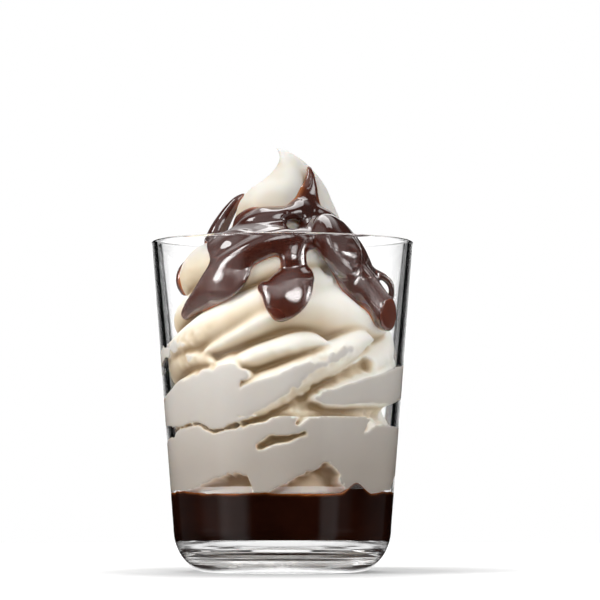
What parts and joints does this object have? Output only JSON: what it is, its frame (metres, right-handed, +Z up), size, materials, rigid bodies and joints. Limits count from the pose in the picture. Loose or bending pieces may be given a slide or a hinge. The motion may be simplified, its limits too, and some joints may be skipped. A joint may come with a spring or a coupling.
{
  "type": "ice cream sundae",
  "caption": "Soft serve sundae in a clear tapered tumbler, on a layer of chocolate sauce and with sauce poured over its peak.",
  "frame": {"origin": "centre of the base, on the surface the tumbler stands on", "axes": "+Z up along the tumbler's axis, -Y towards the front with the long sauce drips, +X to the right seen from the front"},
  "size_m": [0.0806, 0.0806, 0.13],
  "materials": {
    "glass": "clear, polished",
    "cream": "soft serve ice cream, ivory, satin",
    "sauce": "chocolate sauce, glossy",
    "fudge": "dark chocolate sauce, glossy"
  },
  "bodies": {
    "root": {"glass_tumbler": "glass", "fudge_base": "fudge", "soft_serve": "cream", "chocolate_sauce": "sauce"}
  },
  "joints": []
}
